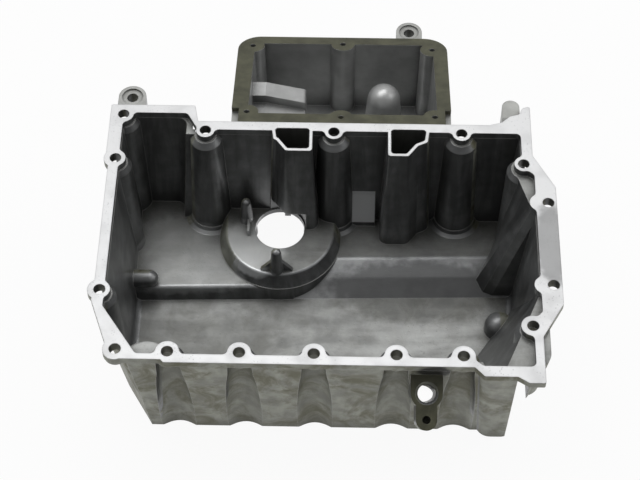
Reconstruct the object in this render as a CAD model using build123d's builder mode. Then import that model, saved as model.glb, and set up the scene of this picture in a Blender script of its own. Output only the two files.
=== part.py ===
from build123d import *
import os
from math import cos, radians, sin, tan

os.makedirs("parts", exist_ok=True)

# Engine oil pan, one aluminium casting. Z = 0 is the machined face that meets the engine block.
# X runs along the engine, Y across it and Z up. All sizes are in millimetres and degrees.

# Main walls
wall = 5.0
floor_wall = 5.0
rear_floor = 113.0
front_floor = 127.0
cavity_left = 160.5
cavity_right = 166.5
cavity_rear = 107.0
cavity_front = 104.0
draft_left = 3.4
draft_right = 4.2
draft_rear = 2.0
draft_front = 8.3
corner_radius = 7.0
floor_radius = 5.0
foot_radius = 6.0

# Land that carries the gasket, round the opening
land = 6.0
seat = 9.0
land_left = 8.0
land_right = 16.0
land_rear = 8.5
land_front = 7.5
lobe_rear = 7.3
lobe_front = 8.8
lobe_side = 8.0
lobe_blend = 4.0
end_bump = 8.0
end_bump_shift = 6.5
bolt_bore = 9.0
column_radius = 12.6
column_draft = 2.6
front_column_draft = 5.2
shoulder = 7.0
foot_rise = 5.0
access_radius = 8.5
groove_draft = 4.5

# Rear left pocket and front right corner of the cavity
pocket_depth = 16.5
pocket_end = -109.2
nook = 9.0
nook_start = 66.0
corner_depth = 6.0
corner_end = 121.0
front_left_start = -133.0
front_left_end = -63.0
front_left_head = [(-137.0, -104.0), (-160.5, -65.0)]
front_left_draft = 7.5
flank_head = [(166.5, -45.0), (140.0, -110.0)]
flank_foot = [(160.5, 28.0), (128.0, -22.6)]
panel_head = [(152.0, 74.0), (161.5, 44.0), (163.0, 36.0), (168.0, 31.0)]
panel_foot = [(143.0, 80.0), (126.0, 48.0), (133.0, 39.0), (141.0, 36.5)]

# Floor step, ramp and sensor platform
step_foot = 31.0
step_skew = 1.6
step_run = 3.0
step_blend = 3.5
ramp_run = 31.0
ramp_break = 15.0
ramp_blend = 9.0
platform_rise = 13.0
platform_radius = 45.0
platform_slope = 24.0
platform_wall = 5.0
sensor_x = -35.5
sensor_y = 83.0
sensor_bore = 41.0
sensor_clear = 20.0
platform_foot = 51.0
platform_edge = 2.5
stud_radius = 4.0
stud_draft = 5.0
stud_height = 27.0
stud_places = [(-36.8, 41.5), (-63.5, 92.0)]
sensor_holes = [(-36.8, 41.5), (-63.5, 92.0), (-7.5, 92.0)]
sensor_tap = 5.0
sensor_tap_depth = 18.0
sensor_boss = 8.0
gusset_reach = 9.0
gusset_rise = 14.0
gusset_thick = 3.0
rib_shift = 2.0
rib_thick = 2.0
rib_reach = 17.0
rib_rise = 7.0

# Bosses on the walls and the floor
side_boss_y = 35.0
side_boss_depth = 107.0
side_boss_radius = 7.3
side_boss_length = 24.0
end_gap = 147.0
end_gap_width = 10.0
end_pocket_top = 14.0
end_plate_foot = 57.0
half_boss_x = 151.0
half_boss_y = 137.0
half_boss_radius = 7.0
half_boss_drop = 3.0
half_boss_height = 22.0
dome_x = 146.0
dome_y = 4.0
dome_radius = 12.0
dome_rise = 4.0
pocket_x = -125.0
pocket_y = -106.0
pocket_radius = 11.0
pocket_foot = 26.0
pad_x = -133.5
pad_y = -85.0
pad_depth = 30.0
pad_radius = 9.0
rear_pad_x = 34.0
rear_pad_width = 20.0
rear_pad_reach = 10.5
rear_pad_top = 72.0

# Two oil ducts that lead down from the land and out into the rear chamber
duct_wall = 2.4
duct_side = 7.6
duct_slope = 10.5
duct_corner = 2.6
duct_depth = 74.0
duct_draft = 2.0
duct_port = 24.0
duct_port_width = 13.0
duct_places = [(-8.2, -1, 21.0, 86.7, 10.0), (52.0, 1, 16.0, 82.7, 15.5)]

# Rear chamber
tray_tilt = 17.0
tray_near = 128.0
tray_drop = 12.0
tray_left = 75.4
tray_right = 104.0
tray_length = 130.0
tray_corner = 20.0
tray_side_band = 13.0
tray_far_band = 9.5
tray_near_band = 9.0
tray_lip = 11.0
tray_base = 131.0
lip_cut = 6.0
lip_cut_length = 16.0
tray_draft = 1.5
cover_bore = 5.0
cover_boss = 9.5
cover_depth = 16.0
cover_far = [(-63.0, 115.0), (14.5, 119.0), (91.0, 111.5)]
hump_x = 50.0
hump_y = 190.0
hump_top = 45.0
hump_radius = 14.0
tray_ledges = [(182.0, 197.0, 46.0), (128.0, 183.0, 55.0)]
ledge_left = -50.0
ledge_right = -16.0
ledge_fall = 9.0
cover_near = [(-63.0, 11.5), (14.0, 5.0), (90.5, 7.0)]

# Mounting lugs
lug_bore = 9.0
lug_seat = 17.0
lug_seat_depth = 1.5
lug_width = 22.5
lug_thick = 13.0
left_lug_x = -156.0
left_lug_y = 146.7
left_lug_drop = 8.0
right_lug_x = 72.0
right_lug_y = 267.0
right_lug_drop = 58.0

# Inclined oil port on the front wall
port_x = 81.0
port_y = -118.0
port_z = -27.0
port_tilt = 30.0
port_bore = 13.5
port_chamfer = 1.8
port_width = 23.7
port_ear = 15.7
port_pitch = 19.5
port_tap = 6.0
port_body = 40.0
port_depth = 70.0

# Drain
drain_x = 82.0
drain_y = -58.0
drain_bore = 20.0
drain_boss = 17.0

# Places that follow from the sizes above
left_edge = -(cavity_left + land_left)
right_edge = cavity_right + land_right
rear_edge = cavity_rear + land_rear
front_edge = -(cavity_front + land_front)
bottom = -(front_floor + floor_wall)
rear_underside = -(rear_floor + floor_wall)
platform_top = rear_floor - platform_rise

# Block bolts, named from the left rear corner round the land
left_bolts = [
    (left_edge + 8.1, cavity_rear + 14.7),
    (left_edge + 5.4, 76.8),
    (left_edge + 4.4, -48.3),
    (left_edge + 20.5, front_edge + 11.0),
]
rear_bolts = [(x, cavity_rear - 0.7) for x in (-93.8, 8.8, 110.6)]
end_bolts = [
    (right_edge - 23.9, 76.7),
    (right_edge - 6.5, 39.0),
    (right_edge - 6.5, -38.0),
    (right_edge - 23.7, -74.7),
]
front_bolts = [(x, front_edge + 9.5) for x in (-109.6, -57.0, -2.4, 58.0, 107.0)]
block_bolts = left_bolts + rear_bolts + end_bolts + front_bolts

# Direction from each bolt to the outside
bolt_turns = (
    (90, rear_bolts),
    (0, end_bolts),
    (-90, front_bolts),
    (180, left_bolts[1:3]),
    (135, left_bolts[:1]),
    (-135, left_bolts[3:]),
)


def half_space(plane, mode=Mode.SUBTRACT):
    """Everything on the far side of a plane is cut away."""
    with BuildSketch(plane) as drawn:
        Rectangle(900, 900)
    extrude(drawn.sketch, amount=400, mode=mode)


def drafted(left, right, front, rear, drafts, top, foot, radius, mode=Mode.ADD):
    """Solid between two depths, with rounded corners and its own draft on each side."""
    faces = []
    for depth in (top, foot):
        shift = [depth * tan(radians(angle)) for angle in drafts]
        width = right - shift[1] - left - shift[0]
        length = rear - shift[3] - front - shift[2]
        with BuildSketch(Plane.XY.offset(-depth)) as drawn:
            with Locations((left + shift[0] + width / 2, front + shift[2] + length / 2)):
                RectangleRounded(width, length, radius)
        faces.append(drawn.sketch)
    loft(faces, ruled=True, mode=mode)


def cone(x, y, top, foot, radius, draft, mode=Mode.ADD):
    """Round column between two depths that widens downwards by its draft."""
    height = foot - top
    with Locations((x, y, -foot)):
        Cone(
            radius + height * tan(radians(draft)),
            radius,
            height,
            align=(Align.CENTER, Align.CENTER, Align.MIN),
            mode=mode,
        )


def prism(points, top, foot, draft, radius, mode=Mode.ADD):
    """Upright prism between two depths that widens downwards by its draft."""
    with BuildSketch(Plane.XY.offset(-top)) as drawn:
        with BuildLine():
            Polyline(*points, close=True)
        make_face()
        if radius:
            fillet(drawn.vertices(), radius)
    extrude(drawn.sketch, amount=-(foot - top), taper=-draft, mode=mode)


def basin(grow, top, foot):
    """The drafted basin between two depths, grown outwards by a wall."""
    drafts = (draft_left, draft_right, draft_front, draft_rear)
    left = -cavity_left - grow
    right = cavity_right + grow
    front = -cavity_front - grow
    rear = cavity_rear + grow
    radius = corner_radius + grow
    drafted(left, right, front, rear, drafts, top, foot, radius)
    pocket_right = pocket_end + grow
    pocket_rear = rear + pocket_depth
    drafted(left, pocket_right, rear - 60, pocket_rear, drafts, top, foot, radius)
    corner_left = corner_end - grow
    corner_right = right - nook + 2
    drafted(corner_left, corner_right, front - corner_depth, front + 60, drafts, top, foot, radius)


def quad_cut(head, foot, grow, mode=Mode.SUBTRACT):
    """Everything beyond a wall that turns between the land and the floor is cut away."""
    faces = []
    for depth in (0, 1 - bottom):
        share = depth / front_floor
        start, end = [
            Vector(*low) * share + Vector(*high) * (1 - share)
            for high, low in zip(head, foot)
        ]
        along = (end - start).normalized()
        out = along.rotate(Axis.Z, 90)
        near = start - along * 70 + out * grow
        far = end + along * 150 + out * grow
        with BuildSketch(Plane.XY.offset(-depth)) as drawn:
            with BuildLine():
                Polyline(near, far, far + out * 150, near + out * 150, close=True)
            make_face()
        faces.append(drawn.sketch)
    loft(faces, ruled=True, mode=mode)


def front_left_cut(grow):
    """Everything outside the sloping wall at the front left is cut away."""
    start, end = [Vector(*place) for place in front_left_head]
    along = (end - start).normalized()
    out = along.rotate(Axis.Z, 90)
    lean = radians(front_left_draft)
    half_space(
        Plane(
            origin=start + out * grow,
            x_dir=along,
            z_dir=out * cos(lean) - Vector(0, 0, sin(lean)),
        )
    )


def rear_nook(grow):
    """Prism outline outside the set-back rear right wall, moved outwards by a wall."""
    inner = cavity_right - nook + grow
    outer = cavity_right + 40
    return [
        (inner, nook_start + 2.1 * nook),
        (cavity_right + grow, nook_start),
        (outer, nook_start),
        (outer, cavity_rear + 60),
        (inner, cavity_rear + 60),
    ]


def duct(x, side, width, front, wing, inset, depth, draft):
    """Oil duct on the rear wall, with a wing to one side, cut away down to a depth."""
    far = x + side * width
    points = [
        (x, cavity_rear + 5),
        (x, front),
        (far, front),
        (far + side * duct_side, front + duct_slope),
        (far + side * wing, front + duct_slope + 0.5 * (wing - duct_side)),
        (far + side * (wing + 2), cavity_rear + 5),
    ]
    with BuildSketch() as drawn:
        with BuildLine():
            Polyline(*points[::side], close=True)
        make_face()
        if inset:
            offset(amount=-inset, kind=Kind.INTERSECTION)
        fillet(drawn.vertices(), duct_corner)
    extrude(drawn.sketch, amount=-depth, taper=-draft, mode=Mode.SUBTRACT)


def sloped(left, right, points, skew=0, radii=()):
    """Prism along X from a profile in Y and Z, which may run askew, is cut away."""
    faces = []
    for x in (left, right):
        shift = x * tan(radians(skew))
        with BuildSketch(Plane.YZ.offset(x)) as drawn:
            with BuildLine():
                Polyline(*[(y + shift, z) for y, z in points], close=True)
            make_face()
            for place, radius in radii:
                corner = Vector(points[place][0] + shift, points[place][1])
                fillet(drawn.vertices().sort_by_distance(corner)[0], radius)
        faces.append(drawn.sketch)
    loft(faces, ruled=True, mode=Mode.SUBTRACT)


def floor_profiles(shift, level):
    """Step and ramp up to the rear floor, each with its reach along X."""
    low = -level - 40
    rear = cavity_rear + 60
    drop = front_floor - rear_floor
    start = step_foot + shift
    step = [(start, low), (start, -level - drop), (start + step_run, -level)]
    ramp = [
        (start, low),
        (start, -level - drop),
        (start + ramp_break, -level - 0.4 * drop),
        (start + ramp_run, -level),
    ]
    end = [(rear, -level), (rear, low)]
    split = sensor_x + stud_radius + gusset_reach
    return (
        (-cavity_left - 40, split, step + end, ((1, step_blend), (2, step_blend))),
        (split, cavity_right + 40, ramp + end, ((2, ramp_blend), (3, ramp_blend))),
    )


def column(x, y, radius, lobe, draft, mode=Mode.SUBTRACT):
    """Column below a bolt, with a shoulder that runs out of the lobe in the land."""
    top = land + shoulder - 2
    with Locations((x, y, -top)):
        Cone(
            radius,
            lobe,
            shoulder,
            align=(Align.CENTER, Align.CENTER, Align.MIN),
            mode=mode,
        )
    cone(x, y, top, front_floor, radius, draft, mode)


def foot_ring(x, y, radius, draft):
    """Rounded foot of a column on the rear floor."""
    reach = radius + (rear_floor - land) * tan(radians(draft))
    for share, angle in ((1.0, 25), (0.4, 60)):
        rise = share * foot_rise
        grow = (1 - share) * foot_rise * 0.4
        cone(x, y, rear_floor - rise, rear_floor + 1, reach + grow, angle, Mode.SUBTRACT)


def stud(x, y):
    """Blind boss for a sensor screw, with a domed top."""
    top = platform_top - stud_height + stud_radius
    cone(x, y, top, front_floor, stud_radius, stud_draft, Mode.SUBTRACT)
    with Locations((x, y, -top)):
        Sphere(stud_radius, mode=Mode.SUBTRACT)


# Platform over the level sensor
with BuildPart() as platform:
    with BuildSketch(Plane.XY.offset(-platform_top)) as head:
        with Locations((sensor_x, sensor_y - 2)):
            Circle(platform_radius)
            Rectangle(2 * platform_radius, 60, align=(Align.CENTER, Align.MIN))
    extrude(head.sketch, amount=-platform_rise - 0.5, taper=-platform_slope)
    fillet(platform.faces().sort_by(Axis.Z)[-1].edges(), platform_edge)
    cone(sensor_x, sensor_y - 2, rear_floor - 0.5, front_floor, platform_foot, 2)

# The hollow of the pan, made as a solid and cut out of the casting
with BuildPart() as hollow:
    basin(0, land, front_floor)
    front_left_cut(0)
    prism(rear_nook(0), 0, front_floor, draft_right, 0, Mode.SUBTRACT)
    fillet(hollow.faces().sort_by(Axis.Z)[0].edges(), floor_radius)
    # Rear floor, with a step on the left and a ramp on the right of the platform
    for left, right, profile, blends in floor_profiles(0, rear_floor):
        sloped(left, right, profile, step_skew, blends)
    # Wall that turns across the front right corner
    quad_cut(flank_head, flank_foot, 0)
    # Columns that carry the bolt seats
    for x, y in rear_bolts:
        column(x, y, column_radius, lobe_rear, column_draft)
        foot_ring(x, y, column_radius, column_draft)
    for x, y in front_bolts:
        column(x, y, column_radius, lobe_front, front_column_draft)
    for x, y in end_bolts:
        column(x, y, column_radius, lobe_side, column_draft / 2)
    for x, y in left_bolts:
        column(x, y, column_radius - 0.6, lobe_side, column_draft / 2)
    # Panel that leans in from the right wall, beside the rear column
    faces = []
    outer = cavity_right + 40
    for depth, outline in ((land, panel_head), (front_floor, panel_foot)):
        with BuildSketch(Plane.XY.offset(-depth)) as panel:
            with BuildLine():
                Polyline(*outline, (outer, outline[-1][1]), (outer, outline[0][1]), close=True)
            make_face()
        faces.append(panel.sketch)
    loft(faces, ruled=True, mode=Mode.SUBTRACT)
    # Platform and the blind bosses on it, the front one with a gusset on each side
    add(platform.part, mode=Mode.SUBTRACT)
    for x, y in stud_places:
        stud(x, y)
    gusset_x, gusset_y = stud_places[0]
    half = stud_radius + gusset_reach
    with BuildSketch(Plane.XZ.offset(-gusset_y - gusset_thick / 2)) as gusset:
        with BuildLine():
            Polyline(
                (gusset_x - half, -platform_top - 1),
                (gusset_x - half, -platform_top + 1.5),
                (gusset_x, -platform_top + gusset_rise + stud_radius),
                (gusset_x + half, -platform_top + 1.5),
                (gusset_x + half, -platform_top - 1),
                close=True,
            )
        make_face()
    extrude(gusset.sketch, amount=gusset_thick, mode=Mode.SUBTRACT)
    # Thin rib in front of the rear boss
    rib_x, rib_y = stud_places[1]
    with Locations((rib_x + rib_shift, rib_y, -platform_top - 1)):
        Box(
            rib_thick,
            rib_reach,
            rib_rise + 1,
            align=(Align.CENTER, Align.MAX, Align.MIN),
            mode=Mode.SUBTRACT,
        )
    # Round-ended boss along the left wall's floor
    with Locations(Location((-cavity_left - 5, side_boss_y, -side_boss_depth), (0, 90, 0))):
        Cylinder(
            side_boss_radius,
            side_boss_length,
            align=(Align.CENTER, Align.CENTER, Align.MIN),
            mode=Mode.SUBTRACT,
        )
    with Locations((-cavity_left - 5 + side_boss_length, side_boss_y, -side_boss_depth)):
        Sphere(side_boss_radius, mode=Mode.SUBTRACT)
    # Domed boss at the front right of the floor
    cone(dome_x, dome_y, front_floor - dome_rise, front_floor, dome_radius, 3, Mode.SUBTRACT)
    with Locations((dome_x, dome_y, -front_floor + dome_rise)):
        Sphere(dome_radius, mode=Mode.SUBTRACT)
    # Closed end of the outer pocket at the front left, with a flat round pad
    cone(pocket_x, pocket_y, land, pocket_foot + wall, pocket_radius + wall, 1, Mode.SUBTRACT)
    cone(pad_x, pad_y, pad_depth, front_floor, pad_radius, 4, Mode.SUBTRACT)
    # Sloping pad on the rear wall between a column and a duct
    sloped(
        rear_pad_x - rear_pad_width / 2,
        rear_pad_x + rear_pad_width / 2,
        [
            (cavity_rear - rear_pad_reach, -rear_floor),
            (cavity_rear - 1, -rear_pad_top),
            (cavity_rear + 20, -rear_pad_top),
            (cavity_rear + 20, -rear_floor),
        ],
    )
    # Ring round the drain
    cone(drain_x, drain_y, front_floor - 3, front_floor, drain_boss, 10, Mode.SUBTRACT)
    # Opening through the land, with a lobe round each bolt
    with BuildSketch() as opening:
        rear_left, rear_right = rear_bolts[0], end_bolts[0]
        front_right = end_bolts[-1]
        with BuildLine():
            Polyline(
                (-cavity_left, cavity_rear + pocket_depth),
                (pocket_end, cavity_rear + pocket_depth),
                (rear_left[0] - 4.5, rear_left[1] - 2),
                (rear_left[0] + 2, cavity_rear),
                (cavity_right - nook, cavity_rear),
                (cavity_right - nook, rear_right[1]),
                (rear_right[0], rear_right[1] - 4),
                (cavity_right, nook_start),
                (cavity_right, 4 - nook_start),
                (front_right[0], front_right[1] + 4),
                (cavity_right - nook + 2, front_right[1] - 4),
                (cavity_right - nook + 2, -cavity_front - corner_depth),
                (corner_end, -cavity_front - corner_depth),
                (front_bolts[-1][0] + 6, front_bolts[-1][1] - 1),
                (front_bolts[-1][0], -cavity_front),
                (front_left_start, -cavity_front),
                (-cavity_left, front_left_end),
                close=True,
            )
        make_face()
        for radius, bolts in (
            (lobe_rear, rear_bolts + end_bolts[:1]),
            (lobe_front, front_bolts + end_bolts[3:]),
            (lobe_side, left_bolts),
            (end_bump, [(x - end_bump_shift, y) for x, y in end_bolts[1:3]]),
        ):
            with Locations(*bolts):
                Circle(radius, mode=Mode.SUBTRACT)
        fillet(opening.vertices(), lobe_blend)
    extrude(opening.sketch, amount=-land)
    # Ducts stand in the hollow
    for place in duct_places:
        duct(*place, 0, rear_floor + 5, 2.5)

# Plane of the cover face
tilted = Plane(
    origin=(0, tray_near, -tray_drop),
    x_dir=(1, 0, 0),
    z_dir=(0, sin(radians(tray_tilt)), cos(radians(tray_tilt))),
)


def tray_y(run):
    """Y of a place on the tilted face, measured along the face from its near edge."""
    return tray_near + run * cos(radians(tray_tilt))


tray_rear = tray_y(tray_length)
tray_front = cavity_rear + wall
cover_places = [(x, tray_y(v)) for x, v in cover_far + cover_near]

# The hollow of the rear chamber
with BuildPart() as chamber:
    drafted(
        -tray_left + tray_side_band,
        tray_right - tray_side_band + 2,
        tray_y(tray_near_band),
        tray_rear - tray_far_band,
        [tray_draft] * 4,
        0,
        tray_base - floor_wall,
        8,
    )
    for x, y in cover_places:
        cone(x, y, 0, tray_base, cover_boss, tray_draft / 2, Mode.SUBTRACT)
    # Dome in the floor
    cone(hump_x, hump_y, hump_top + hump_radius, tray_base, hump_radius, 4, Mode.SUBTRACT)
    with Locations((hump_x, hump_y, -hump_top - hump_radius)):
        Sphere(hump_radius, mode=Mode.SUBTRACT)
    # Two ledges at the left
    for front, rear, top in tray_ledges:
        with BuildSketch(Plane.XZ.offset(-rear)) as ledge:
            with BuildLine():
                Polyline(
                    (-tray_left, -top),
                    (ledge_left, -top),
                    (ledge_right, -top - ledge_fall),
                    (ledge_right, -tray_base),
                    (-tray_left, -tray_base),
                    close=True,
                )
            make_face()
            fillet(ledge.vertices().group_by(Axis.X)[-1], ledge_fall / 3)
        extrude(ledge.sketch, amount=rear - front, mode=Mode.SUBTRACT)

port_plane = Plane(
    origin=(port_x, port_y, port_z),
    x_dir=(1, 0, 0),
    z_dir=(0, -sin(radians(port_tilt)), cos(radians(port_tilt))),
)

# Rear chamber: lip, walls and the webs that tie it to the pan
with BuildPart() as rear_box:
    with BuildSketch() as lip:
        with Locations(((tray_right - tray_left) / 2, (tray_front + tray_rear) / 2)):
            RectangleRounded(tray_left + tray_right, tray_rear - tray_front, tray_corner)
    extrude(lip.sketch, amount=-tray_base)
    with BuildSketch(tilted) as slab:
        Rectangle(900, 900)
    extrude(slab.sketch, amount=-tray_lip, mode=Mode.INTERSECT)
    drafted(
        -tray_left + tray_side_band - wall,
        tray_right - tray_side_band + 2 + wall,
        tray_y(tray_near_band) - wall,
        tray_rear - tray_far_band + wall,
        [tray_draft] * 4,
        0,
        tray_base,
        8 + wall,
    )
    fillet(rear_box.faces().sort_by(Axis.Z)[0].edges(), floor_radius)
    for x, y in cover_places:
        cone(x, y, 0, tray_base - 30, cover_boss, tray_draft / 2)
    # Corners of the lip beside the near edge
    for x, reach in ((-tray_left, lip_cut), (tray_right, lip_cut - 1)):
        with Locations((x, tray_near, 0)):
            Box(2 * reach, 2 * lip_cut_length, 4 * tray_lip, mode=Mode.SUBTRACT)
    # Webs and duct tunnels between the pan and the chamber
    web_length = tray_y(tray_near_band) - tray_front + wall
    for x in (-tray_left + 12, -30, tray_right - 12):
        with Locations((x, tray_front - wall / 2, 0)):
            Box(wall, web_length, -rear_underside, align=(Align.CENTER, Align.MIN, Align.MAX))
    for x, side, width, front, wing in duct_places:
        with Locations((x + side * width / 2, tray_front - wall / 2, -duct_depth - wall)):
            Box(
                duct_port_width + 2 * wall,
                web_length,
                duct_port + 2 * wall,
                align=(Align.CENTER, Align.MIN, Align.MIN),
            )
    half_space(tilted)


# Access channels below the block bolts, each open to the outside
with BuildPart() as access:
    for turn, bolts in bolt_turns:
        for x, y in bolts:
            draft = groove_draft if y < -cavity_front + 5 else column_draft
            cone(x, y, seat, -bottom + 1, access_radius, draft)
            with BuildSketch(Plane.XY.offset(-land)) as mouth:
                Rectangle(14, 2 * access_radius, align=(Align.MIN, Align.CENTER))
            way = mouth.sketch.rotate(Axis.Z, turn).translate((x, y))
            extrude(way, amount=bottom + land - 1, taper=-column_draft)

# Pocket behind the front wall at the right, open to the end
with BuildPart() as end_pocket:
    quad_cut(flank_head, flank_foot, wall, Mode.ADD)
    with BuildPart(mode=Mode.INTERSECT) as reach:
        with Locations((end_gap, front_edge - corner_depth - 10, -end_pocket_top)):
            Box(end_gap_width, 120, 200, align=(Align.MIN, Align.MIN, Align.MAX))
        with Locations((corner_end + 3, -cavity_front + 1, -end_pocket_top)):
            Box(
                end_gap - corner_end - 3,
                120,
                200,
                rotation=(draft_front, 0, 0),
                align=(Align.MIN, Align.MIN, Align.MAX),
            )
        with Locations((end_gap, front_edge - corner_depth - 10, -end_plate_foot)):
            Box(60, 120, 200, align=(Align.MIN, Align.MIN, Align.MAX))

# Outline of the land, and the round seats left below it
with BuildSketch() as plate:
    with BuildLine():
        Polyline(
            (left_edge - 2.5, cavity_rear + pocket_depth + 8),
            (pocket_end + 6, cavity_rear + pocket_depth + 8),
            (pocket_end + 9, rear_edge),
            (133, rear_edge),
            (143, rear_edge + 3),
            (150, rear_edge + 9.5),
            (157, rear_edge + 11.5),
            (160, rear_edge + 18),
            (right_edge - 16.5, rear_edge + 20),
            (right_edge - 16.5, 85),
            (right_edge, 54),
            (right_edge, -55),
            (right_edge - 16.5, -84),
            (right_edge - 16.5, front_edge - 12.5),
            (154, front_edge - 12.5),
            (146, front_edge - 7.5),
            (122, front_edge - 7.5),
            (115, front_edge),
            (-112, front_edge),
            (-114, front_edge + 2.5),
            (-153, front_edge + 2.5),
            (-156.5, -94),
            (left_edge - 1, -58),
            (left_edge, -38),
            (left_edge, 70),
            (left_edge - 2.5, 82),
            close=True,
        )
    make_face()
    fillet(plate.vertices(), 1.5)
    for x, y in left_bolts:
        with Locations((x, y)):
            Circle(9.3)
with BuildSketch() as seats:
    with Locations(*block_bolts):
        Circle(access_radius)
    add(plate.sketch, mode=Mode.INTERSECT)

# The casting
with BuildPart() as pan:
    basin(wall, land / 2, front_floor + floor_wall)
    front_left_cut(wall)
    prism(rear_nook(wall), 0, -bottom, draft_right, 0, Mode.SUBTRACT)
    fillet(pan.faces().sort_by(Axis.Z)[0].edges(), foot_radius)
    # The underside behind the sump is higher
    for left, right, profile, blends in floor_profiles(wall, -rear_underside):
        sloped(left, right, profile, step_skew, blends)
    # Pocket below the platform, with the bosses of the sensor screws
    with BuildSketch(Plane.XY.offset(rear_underside)) as pocket:
        with Locations((sensor_x, sensor_y - 2)):
            Circle(platform_radius + 1)
    extrude(
        pocket.sketch,
        amount=-rear_underside - platform_top - platform_wall,
        taper=platform_slope / 2,
        mode=Mode.SUBTRACT,
    )
    for x, y in sensor_holes:
        cone(x, y, platform_top, -rear_underside, sensor_boss, 2)
    # Land
    extrude(plate.sketch, amount=-land)
    add(rear_box.part)
    # Half-round boss behind the land
    with BuildSketch(Plane.XY.offset(-half_boss_drop)) as half_boss:
        with Locations((half_boss_x, half_boss_y)):
            Circle(half_boss_radius)
            Rectangle(2 * half_boss_radius, half_boss_y - rear_edge, align=(Align.CENTER, Align.MAX))
    extrude(half_boss.sketch, amount=-half_boss_height)
    # Lugs
    for x, y, drop, root in (
        (left_lug_x, left_lug_y, left_lug_drop, cavity_rear + pocket_depth),
        (right_lug_x, right_lug_y, right_lug_drop, tray_rear - tray_far_band),
    ):
        with BuildSketch(Plane.XY.offset(-drop)) as lug:
            with Locations((x, y)):
                Circle(lug_width / 2)
            with Locations((x, (y + root) / 2)):
                Rectangle(lug_width, y - root)
        extrude(lug.sketch, amount=-lug_thick)
    # Inclined oil port
    with BuildSketch(port_plane) as pad:
        Circle(port_width / 2)
        Rectangle(port_width, 16, align=(Align.CENTER, Align.MIN))
        Rectangle(port_ear, port_pitch, align=(Align.CENTER, Align.MAX))
        with Locations((0, -port_pitch)):
            Circle(port_ear / 2)
    extrude(pad.sketch, amount=-port_body)
    # Hollows
    add(hollow.part, mode=Mode.SUBTRACT)
    add(chamber.part, mode=Mode.SUBTRACT)
    # Ducts open at the land and into the rear chamber
    for place in duct_places:
        x, side, width, front, wing = place
        duct(*place, duct_wall, duct_depth, -duct_draft)
        with Locations((x + side * width / 2, cavity_rear - 6, -duct_depth)):
            Box(
                duct_port_width,
                tray_y(tray_near_band) - cavity_rear + 16,
                duct_port,
                align=(Align.CENTER, Align.MIN, Align.MIN),
                mode=Mode.SUBTRACT,
            )
    # Access channels, with a short round seat left below the land
    add(access.part, mode=Mode.SUBTRACT)
    extrude(seats.sketch.translate((0, 0, -land)), amount=land - seat)
    with Locations(*[(x, y, 0) for x, y in block_bolts]):
        Hole(bolt_bore / 2, depth=seat)
    add(end_pocket.part, mode=Mode.SUBTRACT)
    # Cover screws, lug bolts, sensor, port and drain
    for x, y in cover_places:
        run = (y - tray_near) / cos(radians(tray_tilt))
        with Locations(tilted * Location((x, run, 0))):
            Hole(cover_bore / 2, depth=cover_depth)
    for x, y, drop in (
        (left_lug_x, left_lug_y, left_lug_drop),
        (right_lug_x, right_lug_y, right_lug_drop),
    ):
        with Locations((x, y, -drop)):
            CounterBoreHole(lug_bore / 2, lug_seat / 2, lug_seat_depth, depth=lug_thick)
    with Locations((sensor_x, sensor_y, -platform_top)):
        for radius, height, place in (
            (sensor_bore / 2, 2 * platform_wall, Align.MAX),
            (sensor_bore / 2 + 1, sensor_clear, Align.MIN),
        ):
            Cylinder(
                radius,
                height,
                align=(Align.CENTER, Align.CENTER, place),
                mode=Mode.SUBTRACT,
            )
    with Locations(*[Location((x, y, rear_underside), (180, 0, 0)) for x, y in sensor_holes]):
        Hole(sensor_tap / 2, depth=sensor_tap_depth)
    with Locations(Location(port_plane)):
        CounterSinkHole(port_bore / 2, port_bore / 2 + port_chamfer, depth=port_depth)
        with Locations((0, -port_pitch, 0)):
            Hole(port_tap / 2, depth=12)
    with Locations((drain_x, drain_y, 0)):
        Hole(drain_bore / 2)

pan.part.label = "oil_pan"
export_step(pan.part, "parts/oil_pan.step")
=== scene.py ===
from math import cos, radians, sin, tau

import bpy
from bpy.props import FloatProperty, FloatVectorProperty, PointerProperty
from bpy.types import NodeSocket, Operator, Panel, PropertyGroup
from mathutils import Matrix, Vector


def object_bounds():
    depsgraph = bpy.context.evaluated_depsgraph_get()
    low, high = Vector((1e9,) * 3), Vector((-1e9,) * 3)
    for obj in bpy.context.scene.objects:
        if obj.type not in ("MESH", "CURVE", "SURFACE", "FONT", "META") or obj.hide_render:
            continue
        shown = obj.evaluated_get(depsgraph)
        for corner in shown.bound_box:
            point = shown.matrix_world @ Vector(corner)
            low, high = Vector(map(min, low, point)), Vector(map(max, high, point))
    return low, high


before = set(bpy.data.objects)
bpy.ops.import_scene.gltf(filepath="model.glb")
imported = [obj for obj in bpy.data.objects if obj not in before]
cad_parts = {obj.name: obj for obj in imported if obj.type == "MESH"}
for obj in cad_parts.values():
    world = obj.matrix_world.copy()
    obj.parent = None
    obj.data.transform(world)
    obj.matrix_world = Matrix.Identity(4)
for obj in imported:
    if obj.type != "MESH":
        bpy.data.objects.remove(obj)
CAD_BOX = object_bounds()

bl_info = {
    "name": "Engine oil pan",
    "version": (1, 0, 0),
    "blender": (4, 5, 0),
    "location": "3D View > Sidebar > Oil pan",
    "description": "Finishes of a cast engine oil pan and the studio that shows it",
    "category": "Object",
}

PAN = "oil_pan"

# Camera: focal length in image widths, its axes in the frame and its place in metres
SENSOR_WIDTH = 36.0
FOCAL_SHARE = 1782.0 / 640.0
CAMERA_RIGHT = Vector((0.99977, 0.02137, -0.00305))
CAMERA_UP = Vector((-0.01559, 0.81228, 0.58306))
CAMERA_BACK = Vector((0.01494, -0.58288, 0.81242))
CAMERA_PLACE = Vector((0.02029, -0.79197, 1.10386))
CAMERA_SIGHT = 50.0

# Floor: its size, the gap that keeps it off the pan, and the share of plain white in what
# the camera and reflections see of it
FLOOR_SIZE = 12.0
FLOOR_GAP = 0.0002
FLOOR_ROUGH = 0.9
WHITE_SHARE = 0.94

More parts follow.
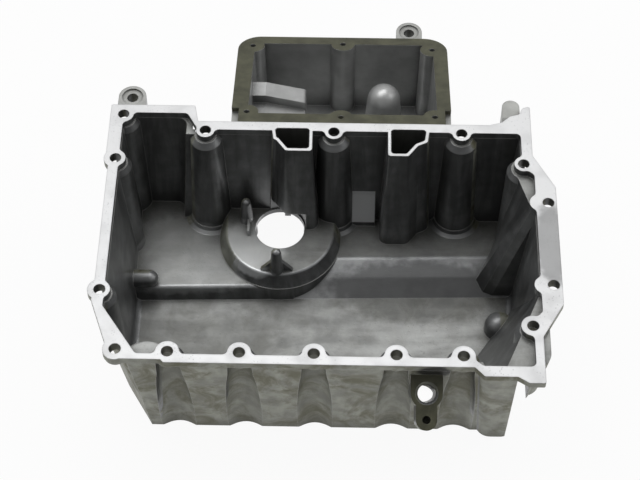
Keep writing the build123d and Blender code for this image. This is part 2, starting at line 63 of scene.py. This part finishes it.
# Lamps: size and place of each, and the place that both point at
KEY_SIZE, KEY_PLACE = (1.7, 0.9), Vector((-0.3, 0.55, 1.45))
FILL_SIZE, FILL_PLACE = (0.9, 1.2), Vector((1.5, 0.1, 0.9))
LIT_PLACE = Vector((0.0, 0.06, -0.06))

# World: strength at the horizon, and the share that it loses on the camera's side
HORIZON_STRENGTH = 0.3
CAMERA_SIDE_LOSS = 0.75

# Faces that were machined after casting: a point on each and the way it faces, then how
# near to the plane and how well turned to it a point of the mesh must be
TRAY_TILT, PORT_TILT = radians(17.0), radians(30.0)
MACHINED = {
    "land": ((0.0, 0.0, 0.0), (0.0, 0.0, 1.0)),
    "tray": ((0.0, 0.128, -0.012), (0.0, sin(TRAY_TILT), cos(TRAY_TILT))),
    "port": ((0.081, -0.118, -0.027), (0.0, -sin(PORT_TILT), cos(PORT_TILT))),
}
FACE_TOLERANCE = 0.0003
FACE_AGREEMENT = 0.995

# Rear chamber: its middle, the Y at which it starts, and how far Y counts in telling
# outer walls from inner ones
CHAMBER_CENTRE = (0.0153, 0.1897, 0.0)
CHAMBER_FRONT = 0.126
OUTWARD_PULL = (1.0, 1.6, 0.0)

# Boxes, by centre and half size: the room of the chamber and a pad on the rear wall painted pale
# as a highlight
BOXES = {
    "room": (CHAMBER_CENTRE, (0.0793, 0.0547, 1.0)),
    "highlight pad": ((0.034, 0.098, -0.092), (0.0095, 0.022, 0.017)),
}

# Soft-edged marks, by centre and reach
MARKS = {
    # floor: painted shade at the front left, spotted and with painted light at the rear left,
    # darker on the ramp
    "shaded": ((-0.105, -0.045, -0.131), (0.095, 0.075, 0.02)),
    "dotted": ((-0.085, 0.045, -0.113), (0.034, 0.026, 0.02)),
    "lit rear floor": ((-0.115, 0.062, -0.113), (0.062, 0.045, 0.012)),
    "darker ramp": ((0.08, 0.035, -0.12), (0.085, 0.032, 0.016)),
    # painted light on top of the sensor platform, painted shadow over the port, scuff on the
    # land
    "lit platform top": ((-0.058, 0.062, -0.1), (0.028, 0.034, 0.01)),
    "pocket": ((0.0865, -0.112, -0.012), (0.015, 0.03, 0.013)),
    "scuffed": ((0.1765, 0.0, 0.0), (0.013, 0.042, 0.004)),
}

# Roughness, share of metal and strength of the grain on each kind of face
INNER_FACE = {"rough": 0.44, "metal": 0.6, "grain": 0.3}
OUTER_FACE = {"rough": 0.58, "metal": 0.35, "grain": 0.95}
STAINED_FACE = {"rough": 0.5, "metal": 0.1, "grain": 0.2}
LAND_FACE = {"rough": 0.36, "metal": 0.25, "grain": 0.0}
# Roughness of oiled skin and of the haze on the land, share of metal of the pad with the painted
# highlight
OILED_ROUGH = 0.3
HAZY_ROUGH = 0.5
HIGHLIGHT_PAD_METAL = 0.1

# Relief of the grain and of the milling lines; spacing of the lines and width of a pass
GRAIN_DEPTH = 0.00028
MILLING_DEPTH = 0.00002
MILLING_STRENGTH = 0.5
MILLING_PITCH = 0.0009
MILLING_PASS = 0.055

# How far dirt and painted shade reach out of a corner, and the share of the metal's shine that
# the mask takes
DIRT_AND_SHADE_REACH = 0.022
DIRT_DULLING = 0.7

# Rays that the edge and corner masks send out from each point
MASK_SAMPLES = 4

# Near-white of the pad on the rear wall: a painted highlight
HIGHLIGHT_PAD_COLOUR = (0.9, 0.91, 0.92)
# Lighter colour along sharp edges: a painted highlight
EDGE_HIGHLIGHT_COLOUR = (0.66, 0.66, 0.65)
# Near-black of the painted shadow under the flange over the port
PORT_SHADOW_COLOUR = (0.01, 0.01, 0.008)


class OILPAN_PG_finish(PropertyGroup):
    """Colours and scales of the casting's surfaces."""

    cast_colour: FloatVectorProperty(
        name="Cast skin",
        description="Colour of the bare casting inside the pan",
        subtype="COLOR",
        default=(0.36, 0.367, 0.37),
    )
    outside_colour: FloatVectorProperty(
        name="Outer skin",
        description="Colour of the rough outer walls",
        subtype="COLOR",
        default=(0.35, 0.355, 0.31),
    )
    oxide_colour: FloatVectorProperty(
        name="Oxide",
        description="Colour of the olive blotches on the outer walls",
        subtype="COLOR",
        default=(0.15, 0.145, 0.09),
    )
    chamber_colour: FloatVectorProperty(
        name="Chamber skin",
        description="Colour of the smoother skin in the rear chamber",
        subtype="COLOR",
        default=(0.5, 0.505, 0.5),
    )
    machined_colour: FloatVectorProperty(
        name="Machined land",
        description="Colour of the cut sealing land",
        subtype="COLOR",
        default=(0.83, 0.835, 0.84),
    )
    stained_colour: FloatVectorProperty(
        name="Stained faces",
        description="Colour of the oil-stained chamber face and port pad",
        subtype="COLOR",
        default=(0.075, 0.075, 0.047),
    )
    grain_size: FloatProperty(
        name="Cast grain",
        description="Size of the grain of the cast skin",
        unit="LENGTH",
        default=0.0011,
        min=0.0001,
    )
    edge_radius: FloatProperty(
        name="Edge rounding",
        description="Radius at which the cast edges look rounded",
        unit="LENGTH",
        default=0.0011,
        min=0.0001,
    )


class OILPAN_PG_studio(PropertyGroup):
    """Camera, floor, lamps and sky."""

    lens: FloatProperty(
        name="Lens",
        description="Focal length for a sensor 36 mm wide",
        unit="CAMERA",
        default=FOCAL_SHARE * SENSOR_WIDTH,
    )
    floor_colour: FloatVectorProperty(
        name="Floor",
        description="Colour of the studio floor and backdrop",
        subtype="COLOR",
        default=(0.93, 0.93, 0.93),
    )
    key_power: FloatProperty(
        name="Key lamp",
        description="Power of the large lamp above the pan",
        unit="POWER",
        default=10.0,
    )
    fill_power: FloatProperty(
        name="Fill lamp",
        description="Power of the soft lamp on the right",
        unit="POWER",
        default=4.0,
    )
    sky_strength: FloatProperty(
        name="Sky",
        description="Strength of the world straight above the pan",
        default=0.62,
        min=0.0,
    )


def node(tree, kind, label="", **settings):
    """A shader node with its settings and, by name or number, the values of its inputs."""
    made = tree.nodes.new(kind)
    made.label = label
    for key, value in settings.items():
        if key == "inputs":
            for socket, given in value.items():
                made.inputs[socket].default_value = given
        else:
            setattr(made, key, value)
    return made


def feed(tree, given, socket):
    """Links an output to a socket, or sets the socket to a number, vector or colour."""
    if isinstance(given, NodeSocket):
        tree.links.new(given, socket)
    elif given is not None:
        socket.default_value = given


def maths(tree, operation, first, second=None, third=None, clamp=False):
    """A Math node whose inputs are links or numbers; gives back its output."""
    made = node(tree, "ShaderNodeMath", operation=operation, use_clamp=clamp)
    for place, given in enumerate((first, second, third)):
        feed(tree, given, made.inputs[place])
    return made.outputs[0]


def vector_maths(tree, operation, first, second=None):
    """A Vector Math node whose inputs are links or vectors; gives back the output in use."""
    made = node(tree, "ShaderNodeVectorMath", operation=operation)
    for place, given in enumerate((first, second)):
        feed(tree, given, made.inputs[place])
    return made.outputs["Value" if operation in ("DOT_PRODUCT", "LENGTH") else "Vector"]


def split(tree, vector):
    """The three parts of a vector."""
    made = node(tree, "ShaderNodeSeparateXYZ")
    feed(tree, vector, made.inputs[0])
    return made.outputs


def object_place(tree):
    """Where a point lies on the object."""
    return node(tree, "ShaderNodeTexCoord").outputs["Object"]


def ramp(tree, value, low, high):
    """Maps a value to 0 at low and 1 at high, smoothly; low may be the larger one."""
    made = node(tree, "ShaderNodeMapRange", interpolation_type="SMOOTHSTEP")
    for socket, given in (("Value", value), ("From Min", low), ("From Max", high)):
        feed(tree, given, made.inputs[socket])
    return made.outputs[0]


def blend(tree, mask, first, second):
    """Mixes two colours by a mask; each is a link or a colour."""
    made = node(tree, "ShaderNodeMix", data_type="RGBA")
    feed(tree, mask, made.inputs[0])
    for place, given in ((6, first), (7, second)):
        given = (*given, 1.0) if isinstance(given, tuple) else given
        feed(tree, given, made.inputs[place])
    return made.outputs[2]


def blend_value(tree, mask, first, second):
    """Mixes two numbers by a mask; each is a link or a number."""
    made = node(tree, "ShaderNodeMix", data_type="FLOAT")
    for place, given in ((0, mask), (2, first), (3, second)):
        feed(tree, given, made.inputs[place])
    return made.outputs[0]


def layered(tree, under, layers):
    """Lays colours over a first one, each by a share of its mask."""
    for mask, share, colour in layers:
        under = blend(tree, maths(tree, "MULTIPLY", mask, share), under, colour)
    return under


def tinted(colour, factor):
    """A colour made lighter or darker."""
    return tuple(factor * part for part in colour)


def new_group(name, inputs, outputs):
    """An empty node group with its sockets, and its two end nodes."""
    made = bpy.data.node_groups.new(name, "ShaderNodeTree")
    for label, kind, default in inputs:
        socket = made.interface.new_socket(label, in_out="INPUT", socket_type=kind)
        if default is not None:
            socket.default_value = default
    for label, kind in outputs:
        made.interface.new_socket(label, in_out="OUTPUT", socket_type=kind)
    return made, made.nodes.new("NodeGroupInput"), made.nodes.new("NodeGroupOutput")


def cast_grain_group():
    """Rough cast skin: fine grain, pits and broad unevenness."""
    tree, start, end = new_group(
        "Cast grain",
        [("Size", "NodeSocketFloat", 0.001)],
        [("Height", "NodeSocketFloat"), ("Mottle", "NodeSocketFloat")],
    )
    place = object_place(tree)
    scale = maths(tree, "DIVIDE", 1.0, start.outputs["Size"])
    fine = node(tree, "ShaderNodeTexNoise", "Grain", inputs={"Detail": 3.0, "Roughness": 0.6})
    broad = node(
        tree, "ShaderNodeTexNoise", "Unevenness", inputs={"Detail": 4.0, "Roughness": 0.55}
    )
    pits = node(tree, "ShaderNodeTexVoronoi", "Pits")
    for texture, factor in ((fine, 1.0), (broad, 0.08), (pits, 0.35)):
        feed(tree, place, texture.inputs["Vector"])
        feed(tree, maths(tree, "MULTIPLY", scale, factor), texture.inputs["Scale"])
    hole = ramp(tree, pits.outputs["Distance"], 0.02, 0.22)
    feed(tree, maths(tree, "MULTIPLY_ADD", fine.outputs[0], 0.6, hole), end.inputs["Height"])
    feed(tree, broad.outputs[0], end.inputs["Mottle"])
    return tree


def plane_mask_group():
    """One on a flat machined face: near its plane and facing the same way."""
    tree, start, end = new_group(
        "Machined face",
        [
            ("Point", "NodeSocketVector", None),
            ("Direction", "NodeSocketVector", None),
            ("Tolerance", "NodeSocketFloat", FACE_TOLERANCE),
        ],
        [("Mask", "NodeSocketFloat")],
    )
    away = vector_maths(tree, "SUBTRACT", object_place(tree), start.outputs["Point"])
    depth = vector_maths(tree, "DOT_PRODUCT", away, start.outputs["Direction"])
    near = maths(tree, "COMPARE", depth, 0.0, start.outputs["Tolerance"])
    normal = node(tree, "ShaderNodeNewGeometry").outputs["True Normal"]
    facing = vector_maths(tree, "DOT_PRODUCT", normal, start.outputs["Direction"])
    flat = maths(tree, "GREATER_THAN", facing, FACE_AGREEMENT)
    feed(tree, maths(tree, "MULTIPLY", near, flat), end.inputs["Mask"])
    return tree


def outside_group():
    """One where a wall faces away from the middle of its hollow."""
    tree, start, end = new_group(
        "Outer side",
        [("Centre", "NodeSocketVector", None)],
        [("Mask", "NodeSocketFloat")],
    )
    away = vector_maths(tree, "SUBTRACT", object_place(tree), start.outputs["Centre"])
    outward = vector_maths(tree, "NORMALIZE", vector_maths(tree, "MULTIPLY", away, OUTWARD_PULL))
    normal = node(tree, "ShaderNodeNewGeometry").outputs["True Normal"]
    facing = vector_maths(tree, "DOT_PRODUCT", outward, normal)
    feed(tree, ramp(tree, facing, -0.05, 0.1), end.inputs["Mask"])
    return tree


def spot_group():
    """One inside a ragged, soft-edged ellipsoid round a place."""
    tree, start, end = new_group(
        "Local patch",
        [("Centre", "NodeSocketVector", None), ("Reach", "NodeSocketVector", None)],
        [("Mask", "NodeSocketFloat")],
    )
    place = object_place(tree)
    ragged = node(
        tree, "ShaderNodeTexNoise", "Ragged edge", inputs={"Scale": 130.0, "Detail": 3.0}
    )
    feed(tree, place, ragged.inputs["Vector"])
    away = vector_maths(tree, "SUBTRACT", place, start.outputs["Centre"])
    share = vector_maths(tree, "DIVIDE", away, start.outputs["Reach"])
    length = vector_maths(tree, "LENGTH", share)
    reach = maths(tree, "MULTIPLY_ADD", ragged.outputs[0], 0.5, length)
    feed(tree, ramp(tree, reach, 1.35, 1.0), end.inputs["Mask"])
    return tree


def box_group():
    """One inside an upright box."""
    tree, start, end = new_group(
        "Inside a box",
        [("Centre", "NodeSocketVector", None), ("Half", "NodeSocketVector", None)],
        [("Mask", "NodeSocketFloat")],
    )
    away = vector_maths(tree, "SUBTRACT", object_place(tree), start.outputs["Centre"])
    share = vector_maths(tree, "DIVIDE", away, start.outputs["Half"])
    parts = split(tree, vector_maths(tree, "ABSOLUTE", share))
    largest = maths(tree, "MAXIMUM", parts["X"], parts["Y"])
    largest = maths(tree, "MAXIMUM", largest, parts["Z"])
    feed(tree, maths(tree, "LESS_THAN", largest, 1.0), end.inputs["Mask"])
    return tree


def slope_group():
    """One on faces that look up, and one behind a place along Y."""
    tree, start, end = new_group(
        "Lie of the face",
        [("Behind", "NodeSocketFloat", CHAMBER_FRONT)],
        [("Up", "NodeSocketFloat"), ("Rear", "NodeSocketFloat")],
    )
    normal = node(tree, "ShaderNodeNewGeometry").outputs["Normal"]
    feed(tree, ramp(tree, split(tree, normal)["Z"], 0.35, 0.8), end.inputs["Up"])
    depth = split(tree, object_place(tree))["Y"]
    behind = maths(tree, "GREATER_THAN", depth, start.outputs["Behind"])
    feed(tree, behind, end.inputs["Rear"])
    return tree


def streak_group():
    """Runs of thin oil down the walls and along the floor."""
    tree, start, end = new_group(
        "Oil streaks",
        [("Stretch", "NodeSocketVector", None), ("Scale", "NodeSocketFloat", 60.0)],
        [("Mask", "NodeSocketFloat")],
    )
    noise = node(
        tree,
        "ShaderNodeTexNoise",
        "Streaks",
        inputs={"Detail": 5.0, "Roughness": 0.62, "Distortion": 0.35},
    )
    pulled = vector_maths(tree, "MULTIPLY", object_place(tree), start.outputs["Stretch"])
    feed(tree, pulled, noise.inputs["Vector"])
    feed(tree, start.outputs["Scale"], noise.inputs["Scale"])
    feed(tree, ramp(tree, noise.outputs[0], 0.36, 0.66), end.inputs["Mask"])
    return tree


def milling_group():
    """Fine curved lines that a face mill leaves on a sealing face, and hazy stains."""
    tree, start, end = new_group(
        "Milling lines",
        [("Pitch", "NodeSocketFloat", MILLING_PITCH)],
        [("Height", "NodeSocketFloat"), ("Shade", "NodeSocketFloat")],
    )
    place = object_place(tree)
    apart = vector_maths(tree, "MODULO", place, (MILLING_PASS, 10.0, 10.0))
    length = vector_maths(tree, "LENGTH", apart)
    turns = maths(tree, "DIVIDE", length, start.outputs["Pitch"])
    wave = maths(tree, "SINE", maths(tree, "MULTIPLY", turns, tau))
    broad = node(
        tree, "ShaderNodeTexNoise", "Hazy stains", inputs={"Scale": 55.0, "Detail": 4.0}
    )
    feed(tree, place, broad.inputs["Vector"])
    feed(tree, wave, end.inputs["Height"])
    feed(tree, ramp(tree, broad.outputs[0], 0.42, 0.72), end.inputs["Shade"])
    return tree


def blotch_group():
    """Oxide that spreads in ragged patches, and fine round specks."""
    tree, start, end = new_group(
        "Oxide blotches",
        [("Scale", "NodeSocketFloat", 30.0)],
        [("Mask", "NodeSocketFloat"), ("Specks", "NodeSocketFloat")],
    )
    noise = node(
        tree,
        "ShaderNodeTexNoise",
        "Blotches",
        inputs={"Detail": 7.0, "Roughness": 0.68, "Distortion": 0.9},
    )
    specks = node(tree, "ShaderNodeTexVoronoi", "Specks", inputs={"Scale": 420.0})
    place = object_place(tree)
    for texture in (noise, specks):
        feed(tree, place, texture.inputs["Vector"])
    feed(tree, start.outputs["Scale"], noise.inputs["Scale"])
    feed(tree, ramp(tree, noise.outputs[0], 0.42, 0.66), end.inputs["Mask"])
    feed(tree, ramp(tree, specks.outputs["Distance"], 0.3, 0.12), end.inputs["Specks"])
    return tree


def edge_group():
    """One along sharp edges, from a rounded normal against the flat one."""
    tree, start, end = new_group(
        "Edge highlights and rounding",
        [("Radius", "NodeSocketFloat", 0.001)],
        [("Mask", "NodeSocketFloat"), ("Normal", "NodeSocketVector")],
    )
    rounded = node(tree, "ShaderNodeBevel", samples=MASK_SAMPLES)
    feed(tree, start.outputs["Radius"], rounded.inputs["Radius"])
    normal = node(tree, "ShaderNodeNewGeometry").outputs["Normal"]
    same = vector_maths(tree, "DOT_PRODUCT", rounded.outputs[0], normal)
    feed(tree, ramp(tree, same, 0.985, 0.86), end.inputs["Mask"])
    feed(tree, rounded.outputs[0], end.inputs["Normal"])
    return tree


def recess_group():
    """One in corners and pockets, where oil and dirt stay and where shade is painted."""
    tree, start, end = new_group(
        "Dirt and shade in corners",
        [("Reach", "NodeSocketFloat", DIRT_AND_SHADE_REACH)],
        [("Mask", "NodeSocketFloat")],
    )
    closed = node(tree, "ShaderNodeAmbientOcclusion", samples=MASK_SAMPLES)
    feed(tree, start.outputs["Reach"], closed.inputs["Distance"])
    feed(tree, ramp(tree, closed.outputs["AO"], 0.9, 0.4), end.inputs["Mask"])
    return tree


def place_group(tree, group, **values):
    """A node group placed in a material with its own values."""
    made = tree.nodes.new("ShaderNodeGroup")
    made.node_tree = group
    made.label = group.name
    for key, value in values.items():
        made.inputs[key].default_value = value
    return made


def casting_masks(tree):
    """Where each finish lies on the casting, by name."""
    masks = {}
    for group, values, places in (
        (plane_mask_group(), ("Point", "Direction"), MACHINED),
        (box_group(), ("Centre", "Half"), BOXES),
        (spot_group(), ("Centre", "Reach"), MARKS),
    ):
        for name, pair in places.items():
            masks[name] = place_group(tree, group, **dict(zip(values, pair))).outputs[0]
    masks["stained"] = maths(tree, "MAXIMUM", masks["tray"], masks["port"])

    lie = place_group(tree, slope_group(), Behind=CHAMBER_FRONT)
    masks["up"], masks["rear"] = lie.outputs["Up"], lie.outputs["Rear"]
    side = outside_group()
    pan_side = place_group(tree, side, Centre=(0.0, 0.0, 0.0)).outputs[0]
    chamber_side = place_group(tree, side, Centre=CHAMBER_CENTRE).outputs[0]
    beyond_room = maths(tree, "SUBTRACT", 1.0, masks["room"])
    chamber_side = maths(tree, "MULTIPLY", chamber_side, beyond_room)
    masks["outer"] = blend_value(tree, masks["rear"], pan_side, chamber_side)

    streaks = streak_group()
    runs = place_group(tree, streaks, Stretch=(1.0, 1.0, 0.12), Scale=70.0).outputs[0]
    smears = place_group(tree, streaks, Stretch=(0.22, 1.0, 1.0), Scale=38.0).outputs[0]
    upright = maths(tree, "SUBTRACT", 1.0, masks["up"])
    masks["runs"], masks["smears"] = runs, smears
    masks["wall runs"] = maths(tree, "MULTIPLY", runs, upright)
    masks["floor smears"] = maths(tree, "MULTIPLY", smears, masks["up"])

    blotches = place_group(tree, blotch_group(), Scale=30.0).outputs
    masks["blotches"] = blotches["Mask"]
    masks["specks"] = maths(tree, "MULTIPLY", blotches["Specks"], masks["dotted"])
    masks["nicks"] = maths(tree, "MULTIPLY", blotches["Specks"], blotches["Mask"])
    masks["dirt"] = place_group(tree, recess_group(), Reach=DIRT_AND_SHADE_REACH).outputs[0]
    return masks


def inner_skin(tree, finish, mottle, masks):
    """Inside: grey skin painted darker on the walls, runs down the walls, smears with painted
    sheen and marks on the floor, patches of painted light and shade, a pale chamber.
    """
    cast = tuple(finish.cast_colour)
    # Walls get a darker copy of the skin than floors: painted shade on faces that do not look up
    floors = blend(tree, mottle, tinted(cast, 0.66), tinted(cast, 0.92))
    walls = blend(tree, mottle, tinted(cast, 0.5), tinted(cast, 0.72))
    skin = layered(
        tree,
        blend(tree, masks["up"], walls, floors),
        (
            (masks["wall runs"], 0.7, tinted(cast, 0.22)),
            # oil smears on the floor, painted lighter as a sheen
            (masks["floor smears"], 0.6, tinted(cast, 1.35)),
            (masks["specks"], 0.7, tinted(cast, 0.3)),
            # darker patch on the ramp
            (masks["darker ramp"], 0.75, tinted(cast, 0.3)),
            # painted light: a lighter patch on the rear left of the floor
            (masks["lit rear floor"], 0.45, tinted(cast, 2.0)),
            # painted light on top of the sensor platform
            (masks["lit platform top"], 0.8, tinted(cast, 2.5)),
        ),
    )
    pale = tuple(finish.chamber_colour)
    chamber = blend(tree, mottle, tinted(pale, 0.88), tinted(pale, 1.08))
    return layered(
        tree,
        blend(tree, masks["rear"], skin, chamber),
        (
            # dirt and painted shade in corners
            (masks["dirt"], 0.8, tinted(cast, 0.1)),
            (masks["shaded"], 0.6, tinted(cast, 0.42)),
            # painted highlight: a near-white pad on the rear wall
            (masks["highlight pad"], 0.9, HIGHLIGHT_PAD_COLOUR),
        ),
    )


def outer_skin(tree, finish, mottle, masks):
    """Outer walls: rough grey skin under olive oxide, with a painted shadow over the port."""
    rough = tuple(finish.outside_colour)
    oxide = tuple(finish.oxide_colour)
    return layered(
        tree,
        blend(tree, mottle, tinted(rough, 0.8), tinted(rough, 1.3)),
        (
            (masks["runs"], 0.3, tinted(rough, 0.55)),
            (masks["blotches"], 0.95, oxide),
            # dirt and painted shade in corners of the outer walls
            (masks["dirt"], 0.7, tinted(oxide, 0.5)),
            # painted shadow under the flange over the port
            (masks["pocket"], 0.95, PORT_SHADOW_COLOUR),
        ),
    )


def stained_face(tree, finish, mottle, masks):
    """Cover face of the chamber and pad of the port, dark with oil."""
    stain = tuple(finish.stained_colour)
    face = blend(tree, mottle, tinted(stain, 0.8), tinted(stain, 1.35))
    return layered(tree, face, ((masks["blotches"], 0.25, tinted(stain, 2.4)),))


def sealing_land(tree, finish, haze, masks):
    """Milled land with hazy stains, nicks and a scuff."""
    fresh = tuple(finish.machined_colour)
    return layered(
        tree,
        blend(tree, haze, fresh, tinted(fresh, 0.92)),
        (
            (masks["nicks"], 0.5, tinted(fresh, 0.45)),
            (masks["scuffed"], 0.8, tinted(fresh, 0.36)),
        ),
    )


def casting_material(finish):
    """Aluminium casting: cast skin, machined land, stained faces and rough outer walls."""
    material = bpy.data.materials.new("cast aluminium")
    material.use_nodes = True
    tree = material.node_tree
    shader = tree.nodes["Principled BSDF"]
    masks = casting_masks(tree)
    outer, stained, land = masks["outer"], masks["stained"], masks["land"]
    grain = place_group(tree, cast_grain_group(), Size=finish.grain_size)
    milling = place_group(tree, milling_group(), Pitch=MILLING_PITCH)
    edges = place_group(tree, edge_group(), Radius=finish.edge_radius)
    mottle = ramp(tree, grain.outputs["Mottle"], 0.3, 0.7)
    haze = milling.outputs["Shade"]

    inside = inner_skin(tree, finish, mottle, masks)
    skin = blend(tree, outer, inside, outer_skin(tree, finish, mottle, masks))
    # painted highlight along sharp edges
    skin = layered(tree, skin, ((edges.outputs["Mask"], 0.5, EDGE_HIGHLIGHT_COLOUR),))
    skin = blend(tree, stained, skin, stained_face(tree, finish, mottle, masks))
    skin = blend(tree, land, skin, sealing_land(tree, finish, haze, masks))
    feed(tree, skin, shader.inputs["Base Color"])

    rough = blend_value(tree, masks["smears"], INNER_FACE["rough"], OILED_ROUGH)
    rough = blend_value(tree, masks["wall runs"], rough, OILED_ROUGH)
    rough = blend_value(tree, outer, rough, OUTER_FACE["rough"])
    rough = blend_value(tree, stained, rough, STAINED_FACE["rough"])
    land_rough = blend_value(tree, haze, LAND_FACE["rough"], HAZY_ROUGH)
    feed(tree, blend_value(tree, land, rough, land_rough), shader.inputs["Roughness"])

    metal = blend_value(tree, outer, INNER_FACE["metal"], OUTER_FACE["metal"])
    metal = blend_value(tree, stained, metal, STAINED_FACE["metal"])
    metal = blend_value(tree, masks["highlight pad"], metal, HIGHLIGHT_PAD_METAL)
    metal = blend_value(tree, land, metal, LAND_FACE["metal"])
    clean = maths(tree, "MULTIPLY_ADD", masks["dirt"], -DIRT_DULLING, 1.0)
    feed(tree, maths(tree, "MULTIPLY", metal, clean), shader.inputs["Metallic"])

    strength = blend_value(tree, outer, INNER_FACE["grain"], OUTER_FACE["grain"])
    strength = blend_value(tree, stained, strength, STAINED_FACE["grain"])
    strength = blend_value(tree, land, strength, LAND_FACE["grain"])
    bump = node(tree, "ShaderNodeBump", "Cast skin", inputs={"Distance": GRAIN_DEPTH})
    feed(tree, strength, bump.inputs["Strength"])
    feed(tree, grain.outputs["Height"], bump.inputs["Height"])
    feed(tree, edges.outputs["Normal"], bump.inputs["Normal"])
    lines = node(tree, "ShaderNodeBump", "Milling lines", inputs={"Distance": MILLING_DEPTH})
    feed(tree, maths(tree, "MULTIPLY", land, MILLING_STRENGTH), lines.inputs["Strength"])
    feed(tree, milling.outputs["Height"], lines.inputs["Height"])
    feed(tree, bump.outputs[0], lines.inputs["Normal"])
    feed(tree, lines.outputs[0], shader.inputs["Normal"])
    return material


def floor_material(colour):
    """Plain pale studio floor that stays white where the camera or a reflection sees it."""
    material = bpy.data.materials.new("studio floor")
    material.use_nodes = True
    tree = material.node_tree
    shader = tree.nodes["Principled BSDF"]
    shader.inputs["Roughness"].default_value = FLOOR_ROUGH
    noise = node(tree, "ShaderNodeTexNoise", "Paper", inputs={"Scale": 3.0})
    shade = blend(tree, noise.outputs[0], tinted(colour, 0.985), tuple(colour))
    feed(tree, shade, shader.inputs["Base Color"])
    glow = node(tree, "ShaderNodeEmission", "White ground")
    path = node(tree, "ShaderNodeLightPath")
    seen = maths(tree, "ADD", path.outputs["Is Camera Ray"], path.outputs["Is Glossy Ray"])
    seen = maths(tree, "ADD", seen, path.outputs["Is Transmission Ray"], clamp=True)
    mixed = node(tree, "ShaderNodeMixShader")
    feed(tree, maths(tree, "MULTIPLY", seen, WHITE_SHARE), mixed.inputs[0])
    feed(tree, shader.outputs[0], mixed.inputs[1])
    feed(tree, glow.outputs[0], mixed.inputs[2])
    feed(tree, mixed.outputs[0], tree.nodes["Material Output"].inputs["Surface"])
    return material


class OILPAN_OT_casting(Operator):
    """Gives the casting its cast, machined and stained finishes"""

    bl_idname = "oilpan.casting"
    bl_label = "Casting"

    def execute(self, context):
        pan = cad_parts[PAN]
        material = casting_material(context.scene.oilpan_finish)
        pan.data.materials.clear()
        pan.data.materials.append(material)
        return {"FINISHED"}


def lay_floor(colour):
    """A wide floor just under the pan."""
    under = CAD_BOX[0].z - FLOOR_GAP
    bpy.ops.mesh.primitive_plane_add(size=FLOOR_SIZE, location=(0, 0, under))
    floor = bpy.context.object
    floor.name = "studio_floor"
    floor.data.materials.append(floor_material(colour))


def hang_lamp(name, power, size, place):
    """A soft lamp with an oblong face that points at the pan."""
    lamp = bpy.data.lights.new(name, "AREA")
    lamp.energy = power
    lamp.shape = "RECTANGLE"
    lamp.size, lamp.size_y = size
    holder = bpy.data.objects.new(name, lamp)
    bpy.context.collection.objects.link(holder)
    holder.location = place
    holder.rotation_euler = (LIT_PLACE - place).to_track_quat("-Z", "Y").to_euler()


def make_world(scene, overhead):
    """A white world, brightest overhead and dark on the camera's side."""
    world = bpy.data.worlds.new("studio")
    scene.world = world
    world.use_nodes = True
    tree = world.node_tree
    light = tree.nodes["Background"]
    light.inputs["Color"].default_value = (1.0, 1.0, 1.0, 1.0)
    parts = split(tree, node(tree, "ShaderNodeTexCoord").outputs["Generated"])
    high = ramp(tree, parts["Z"], 0.0, 0.95)
    near = ramp(tree, parts["Y"], 0.15, -0.75)
    sky = blend_value(tree, high, HORIZON_STRENGTH, overhead)
    left = maths(tree, "MULTIPLY_ADD", near, -CAMERA_SIDE_LOSS, 1.0)
    feed(tree, maths(tree, "MULTIPLY", sky, left), light.inputs["Strength"])


def place_camera(scene, lens):
    """The camera at the place and angle from which the pan is shown."""
    camera = bpy.data.objects.new("camera", bpy.data.cameras.new("camera"))
    bpy.context.collection.objects.link(camera)
    camera.data.sensor_width = SENSOR_WIDTH
    camera.data.lens = lens
    camera.data.clip_end = CAMERA_SIGHT
    turn = Matrix((CAMERA_RIGHT, CAMERA_UP, CAMERA_BACK)).transposed()
    camera.rotation_mode = "QUATERNION"
    camera.rotation_quaternion = turn.to_quaternion()
    camera.location = CAMERA_PLACE
    scene.camera = camera


class OILPAN_OT_stage(Operator):
    """Sets up the floor, the lamps, the world and the camera"""

    bl_idname = "oilpan.stage"
    bl_label = "Stage"

    def execute(self, context):
        scene = context.scene
        studio = scene.oilpan_studio
        lay_floor(studio.floor_colour)
        hang_lamp("key_lamp", studio.key_power, KEY_SIZE, KEY_PLACE)
        hang_lamp("fill_lamp", studio.fill_power, FILL_SIZE, FILL_PLACE)
        make_world(scene, studio.sky_strength)
        place_camera(scene, studio.lens)
        scene.view_settings.view_transform = "Standard"
        return {"FINISHED"}


class OILPAN_PT_panel(Panel):
    """Lists the values of the finishes and the studio, with a button for each"""

    bl_label = "Oil pan"
    bl_idname = "OILPAN_PT_panel"
    bl_space_type = "VIEW_3D"
    bl_region_type = "UI"
    bl_category = "Oil pan"

    def draw(self, context):
        column = self.layout.column()
        scene = context.scene
        for name in OILPAN_PG_finish.__annotations__:
            column.prop(scene.oilpan_finish, name)
        column.operator("oilpan.casting")
        for name in OILPAN_PG_studio.__annotations__:
            column.prop(scene.oilpan_studio, name)
        column.operator("oilpan.stage")


CLASSES = (
    OILPAN_PG_finish,
    OILPAN_PG_studio,
    OILPAN_OT_casting,
    OILPAN_OT_stage,
    OILPAN_PT_panel,
)


def register():
    for each in CLASSES:
        bpy.utils.register_class(each)
    bpy.types.Scene.oilpan_finish = PointerProperty(type=OILPAN_PG_finish)
    bpy.types.Scene.oilpan_studio = PointerProperty(type=OILPAN_PG_studio)


def unregister():
    del bpy.types.Scene.oilpan_studio
    del bpy.types.Scene.oilpan_finish
    for each in reversed(CLASSES):
        bpy.utils.unregister_class(each)


def main():
    register()
    bpy.ops.oilpan.casting()
    bpy.ops.oilpan.stage()


if __name__ == "__main__":
    main()
